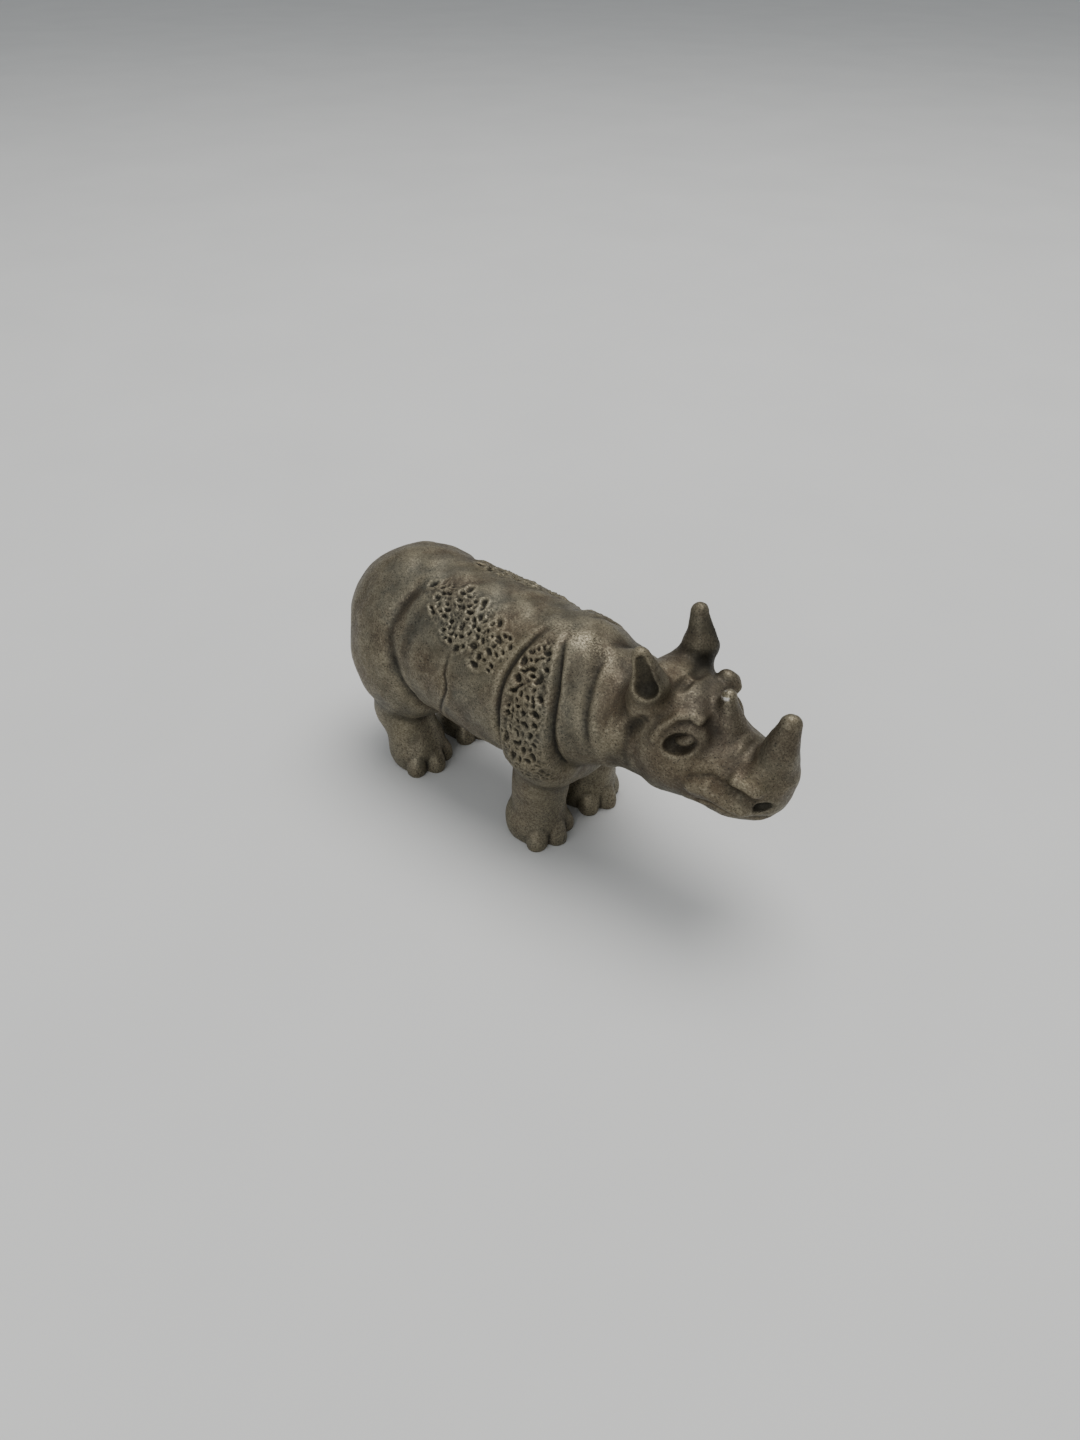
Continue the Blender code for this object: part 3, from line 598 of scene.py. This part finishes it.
def paint_masks(mesh, shift):
    """Store where the patina lies, where the metal is worn bright, and where shade, highlights and bounce
    light are painted.
    """
    points = vertex_values(mesh, "co").astype(float) / UNIT
    normals = vertex_values(mesh, "normal")
    edges = neighbours_of(mesh)
    hollow = np.zeros(len(points))
    proud = np.zeros(len(points))
    for rounds, full, dark, bright in BENDS:
        bend = ((smoothed(points, edges, rounds) - points) * normals).sum(1) / full
        hollow += dark * np.clip(bend, 0, 1.2)
        proud += bright * np.clip(-bend, 0, 1.2)
    # Back to the place where the shape was modelled
    at = points + shift
    mirrored = tuple((strength, (x, -y, z), reach) for strength, (x, y, z), reach in PAIRED_SHADE_PATCHES)
    # The head is toned more evenly than the body
    head = np.clip((at[:, 0] - 13) / 3, 0, 1)
    hollow *= 1 - 0.45 * head
    proud *= 1 - 0.5 * head
    # Painted bounce light from the floor: the feet are painted paler than the darker legs above them, with
    # the patina thinned and the brightening raised
    hollow *= 0.75 + 0.25 * np.clip((at[:, 2] - 3) / 7, 0, 1)
    proud += 0.7 * np.clip((9 - at[:, 2]) / 5, 0, 1)
    # Patches of painted shade and darker tone, of worn metal with painted highlights, and of warmer tone
    painted_shade_and_tone = patches(at, SHADE_AND_TONE_PATCHES + PAIRED_SHADE_PATCHES + mirrored)
    rubbed_and_highlit, warm = patches(at, RUBBED_AND_HIGHLIT), patches(at, WARM)
    for name, values in (("patina", hollow), ("polish_and_bounce", proud), ("painted_shade_and_tone", painted_shade_and_tone), ("rubbed_and_highlit", rubbed_and_highlit),
                         ("warm", warm)):
        layer = mesh.attributes.new(name, "FLOAT", "POINT")
        layer.data.foreach_set("value", np.clip(values, 0, 1).astype(np.float32))


class Sheet:
    """Short way to lay out shader nodes."""

    def __init__(self, name):
        """Start a material; its textures run over the object's own lengths."""
        self.material = bpy.data.materials.new(name)
        self.material.use_nodes = True
        self.nodes = self.material.node_tree.nodes
        self.links = self.material.node_tree.links
        self.shader = self.nodes["Principled BSDF"]
        self.place = self.nodes.new("ShaderNodeTexCoord").outputs["Object"]

    def put(self, value, socket):
        """Link a socket, or set a number or a colour."""
        if isinstance(value, bpy.types.NodeSocket):
            self.links.new(value, socket)
        elif isinstance(value, tuple):
            socket.default_value = value + (1.0,) * (4 - len(value))
        else:
            socket.default_value = value

    def noise(self, size, detail=4.0, rough=0.55, distort=0.0):
        """Soft noise of this grain size."""
        node = self.nodes.new("ShaderNodeTexNoise")
        self.links.new(self.place, node.inputs["Vector"])
        node.inputs["Scale"].default_value = 1.0 / (size * UNIT)
        node.inputs["Detail"].default_value = detail
        node.inputs["Roughness"].default_value = rough
        node.inputs["Distortion"].default_value = distort
        return node.outputs["Fac"]

    def value_of(self, name):
        """A mask that is stored on the skin."""
        node = self.nodes.new("ShaderNodeAttribute")
        node.attribute_name = name
        return node.outputs["Fac"]

    def ramp(self, value, low, high, out_low=0.0, out_high=1.0):
        """The value, stretched from low and high to the out values and held there."""
        node = self.nodes.new("ShaderNodeMapRange")
        node.inputs["From Min"].default_value = low
        node.inputs["From Max"].default_value = high
        node.inputs["To Min"].default_value = out_low
        node.inputs["To Max"].default_value = out_high
        self.links.new(value, node.inputs["Value"])
        return node.outputs["Result"]

    def math(self, operation, a, b):
        """Sum, difference or product of two values."""
        node = self.nodes.new("ShaderNodeMath")
        node.operation = operation
        self.put(a, node.inputs[0])
        self.put(b, node.inputs[1])
        return node.outputs[0]

    def mix(self, share, a, b):
        """Colour a with a share of b laid over it."""
        node = self.nodes.new("ShaderNodeMix")
        node.data_type = "RGBA"
        self.put(share, node.inputs["Factor"])
        self.put(a, node.inputs["A"])
        self.put(b, node.inputs["B"])
        return node.outputs["Result"]


def pewter():
    """Antique pewter: mottled metal, darker in the hollows and worn brighter where it stands proud, with
    painted shade, painted highlights and painted bounce light on the feet.
    """
    s = Sheet("pewter_antique")
    broad = s.ramp(s.noise(9, 3), 0.40, 0.60)
    mottle = s.noise(2.4, 5, 0.65)
    cloud = s.noise(5.5, 4, 0.6, 0.6)
    grain = s.noise(0.24, 3, 0.65)
    dust = s.noise(0.15, 2, 0.6)
    colour = s.mix(broad, OLIVE, COOL)
    colour = s.mix(s.ramp(cloud, 0.45, 0.62, 0.0, 0.65), colour, BROWN)
    colour = s.mix(s.ramp(mottle, 0.50, 0.70, 0.0, 0.45), colour, BROWN)
    colour = s.mix(s.math("MULTIPLY", s.value_of("warm"), 0.8), colour, WARM_BROWN)
    colour = s.mix(s.ramp(grain, 0.52, 0.72, 0.0, 0.30), colour, LIGHT)
    # Proud places worn bright, and painted bounce light from the floor on the feet
    worn = s.math("MULTIPLY", s.value_of("polish_and_bounce"), s.ramp(grain, 0.3, 0.6, 0.08, 0.6))
    colour = s.mix(worn, colour, LIGHT)
    # Painted highlights: flecks of the light colour over the worn withers and on the horn tips
    bright = s.math("MULTIPLY", s.value_of("rubbed_and_highlit"), s.ramp(s.noise(0.24, 2, 0.7), 0.48, 0.54, 0.0, 1.0))
    colour = s.mix(bright, colour, LIGHT)
    # A near-white painted highlight where that mask is strongest, on the top of the brow horn
    painted_glint = s.math("MULTIPLY", s.ramp(s.value_of("rubbed_and_highlit"), 0.7, 0.95), s.ramp(s.noise(0.7, 1), 0.46, 0.52))
    colour = s.mix(painted_glint, colour, PAINTED_GLINT)
    colour = s.mix(s.ramp(dust, 0.58, 0.66, 0.0, 0.85), colour, DARK)
    colour = s.mix(s.math("MULTIPLY", s.value_of("patina"), 0.84), colour, DARK)
    # Painted shade in the recesses, on the left ear, the right shoulder and the withers, and darker on the
    # head
    colour = s.mix(s.math("MULTIPLY", s.value_of("painted_shade_and_tone"), 0.85), colour, DARK)
    s.put(colour, s.shader.inputs["Base Color"])
    s.shader.inputs["Metallic"].default_value = METALLIC
    rough = s.ramp(grain, 0.35, 0.65, 0.62, 0.42)
    rough = s.math("SUBTRACT", rough, s.math("MULTIPLY", s.value_of("rubbed_and_highlit"), 0.12))
    dull = s.math("MULTIPLY", s.value_of("patina"), 0.25)
    s.put(s.math("ADD", rough, dull), s.shader.inputs["Roughness"])
    bump = s.nodes.new("ShaderNodeBump")
    bump.inputs["Strength"].default_value = 0.45
    bump.inputs["Distance"].default_value = 0.10 * UNIT
    height = s.math("ADD", s.math("MULTIPLY", grain, 0.7), s.math("MULTIPLY", dust, 0.5))
    s.links.new(height, bump.inputs["Height"])
    s.links.new(bump.outputs["Normal"], s.shader.inputs["Normal"])
    return s.material


def floor_paper():
    """Pale matt paper with a faint mottle."""
    s = Sheet("floor_paper")
    shade = s.mix(s.ramp(s.noise(40, 3), 0.3, 0.7), (0.62, 0.62, 0.612), (0.65, 0.65, 0.64))
    s.put(shade, s.shader.inputs["Base Color"])
    s.shader.inputs["Roughness"].default_value = 0.8
    return s.material


def carved_figure():
    """The finely carved skin, set down in the place and box of the plain solid."""
    points, quads = skin_of(GRID_STEP)
    points = press_pits(points)[0]
    normals = normals_of(points, quads)
    points = points + normals * fine_relief(points, normals)[:, None]
    mesh = bpy.data.meshes.new("rough_skin")
    mesh.from_pydata((points * UNIT).tolist(), [], quads.tolist())
    piece = bpy.data.objects.new("rhinoceros", mesh)
    bpy.context.scene.collection.objects.link(piece)
    fewer = piece.modifiers.new("fewer faces", "DECIMATE")
    fewer.ratio = FACE_COUNT / (2 * len(quads))
    bpy.context.view_layer.update()
    skin = bpy.data.meshes.new_from_object(piece.evaluated_get(bpy.context.evaluated_depsgraph_get()))
    piece.modifiers.clear()
    piece.data = skin
    bpy.data.meshes.remove(mesh)
    skin.name = "rhinoceros"
    low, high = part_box("rhinoceros_figurine")
    at = vertex_values(skin, "co")
    own_low, own_high = at.min(0), at.max(0)
    shift = np.array([(own_low[0] + own_high[0]) / 2 - (low[0] + high[0]) / 2,
                      (own_low[1] + own_high[1]) / 2 - (low[1] + high[1]) / 2, SOLE_CUT * UNIT])
    at = at - shift
    at[:, 2] = np.maximum(at[:, 2], 0)
    at = np.clip(at, low, high)
    skin.vertices.foreach_set("co", at.astype(np.float32).ravel())
    skin.update()
    skin.shade_smooth()
    paint_masks(skin, shift / UNIT)
    skin.materials.append(pewter())
    return piece, shift


def area_light(name, place, aim, size, power, colour):
    """Round soft light that faces the aim."""
    light = bpy.data.lights.new(name, "AREA")
    light.shape = "DISK"
    light.size, light.energy, light.color = size, power, colour
    holder = bpy.data.objects.new(name, light)
    holder.location = place
    holder.rotation_euler = (Vector(aim) - Vector(place)).to_track_quat("-Z", "Y").to_euler()
    bpy.context.scene.collection.objects.link(holder)


def photo_camera(shift):
    """Camera above and in front of the right shoulder, looking down at the figure."""
    camera = bpy.data.cameras.new("camera")
    camera.sensor_fit = "VERTICAL"
    camera.sensor_height = 36.0
    camera.lens = CAMERA_LENS
    camera.clip_start = 0.005
    holder = bpy.data.objects.new("camera", camera)
    right, ahead = Vector(CAMERA_RIGHT).normalized(), Vector(CAMERA_AHEAD).normalized()
    up = right.cross(ahead)
    turn = Matrix((right, up, -ahead)).transposed().to_4x4()
    holder.matrix_world = Matrix.Translation(Vector(CAMERA_PLACE) - Vector(shift)) @ turn
    bpy.context.scene.collection.objects.link(holder)
    bpy.context.scene.camera = holder


def studio():
    """Pale floor, even sky and two soft lights."""
    floor = bpy.data.meshes.new("floor")
    corners = [(x * FLOOR_HALF, y * FLOOR_HALF, 0) for x, y in ((-1, -1), (1, -1), (1, 1), (-1, 1))]
    floor.from_pydata(corners, [], [(0, 1, 2, 3)])
    ground = bpy.data.objects.new("floor", floor)
    bpy.context.scene.collection.objects.link(ground)
    floor.materials.append(floor_paper())
    world = bpy.data.worlds.new("studio")
    bpy.context.scene.world = world
    world.use_nodes = True
    sky = world.node_tree.nodes["Background"]
    sky.inputs["Color"].default_value = (0.93, 0.97, 1.0, 1)
    sky.inputs["Strength"].default_value = SKY_STRENGTH
    for name, place, size, power, colour in LIGHTS:
        area_light(name, place, (0, 0, 0.01), size, power, colour)


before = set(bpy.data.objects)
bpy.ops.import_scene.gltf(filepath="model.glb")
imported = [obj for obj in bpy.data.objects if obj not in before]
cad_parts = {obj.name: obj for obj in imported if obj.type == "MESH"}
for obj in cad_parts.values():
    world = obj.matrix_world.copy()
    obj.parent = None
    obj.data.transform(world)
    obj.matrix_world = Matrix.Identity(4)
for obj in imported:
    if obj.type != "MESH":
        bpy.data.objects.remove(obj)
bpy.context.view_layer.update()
rhinoceros, placed = carved_figure()
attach(rhinoceros, "root")
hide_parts("rhinoceros_figurine")
studio()
photo_camera(placed)
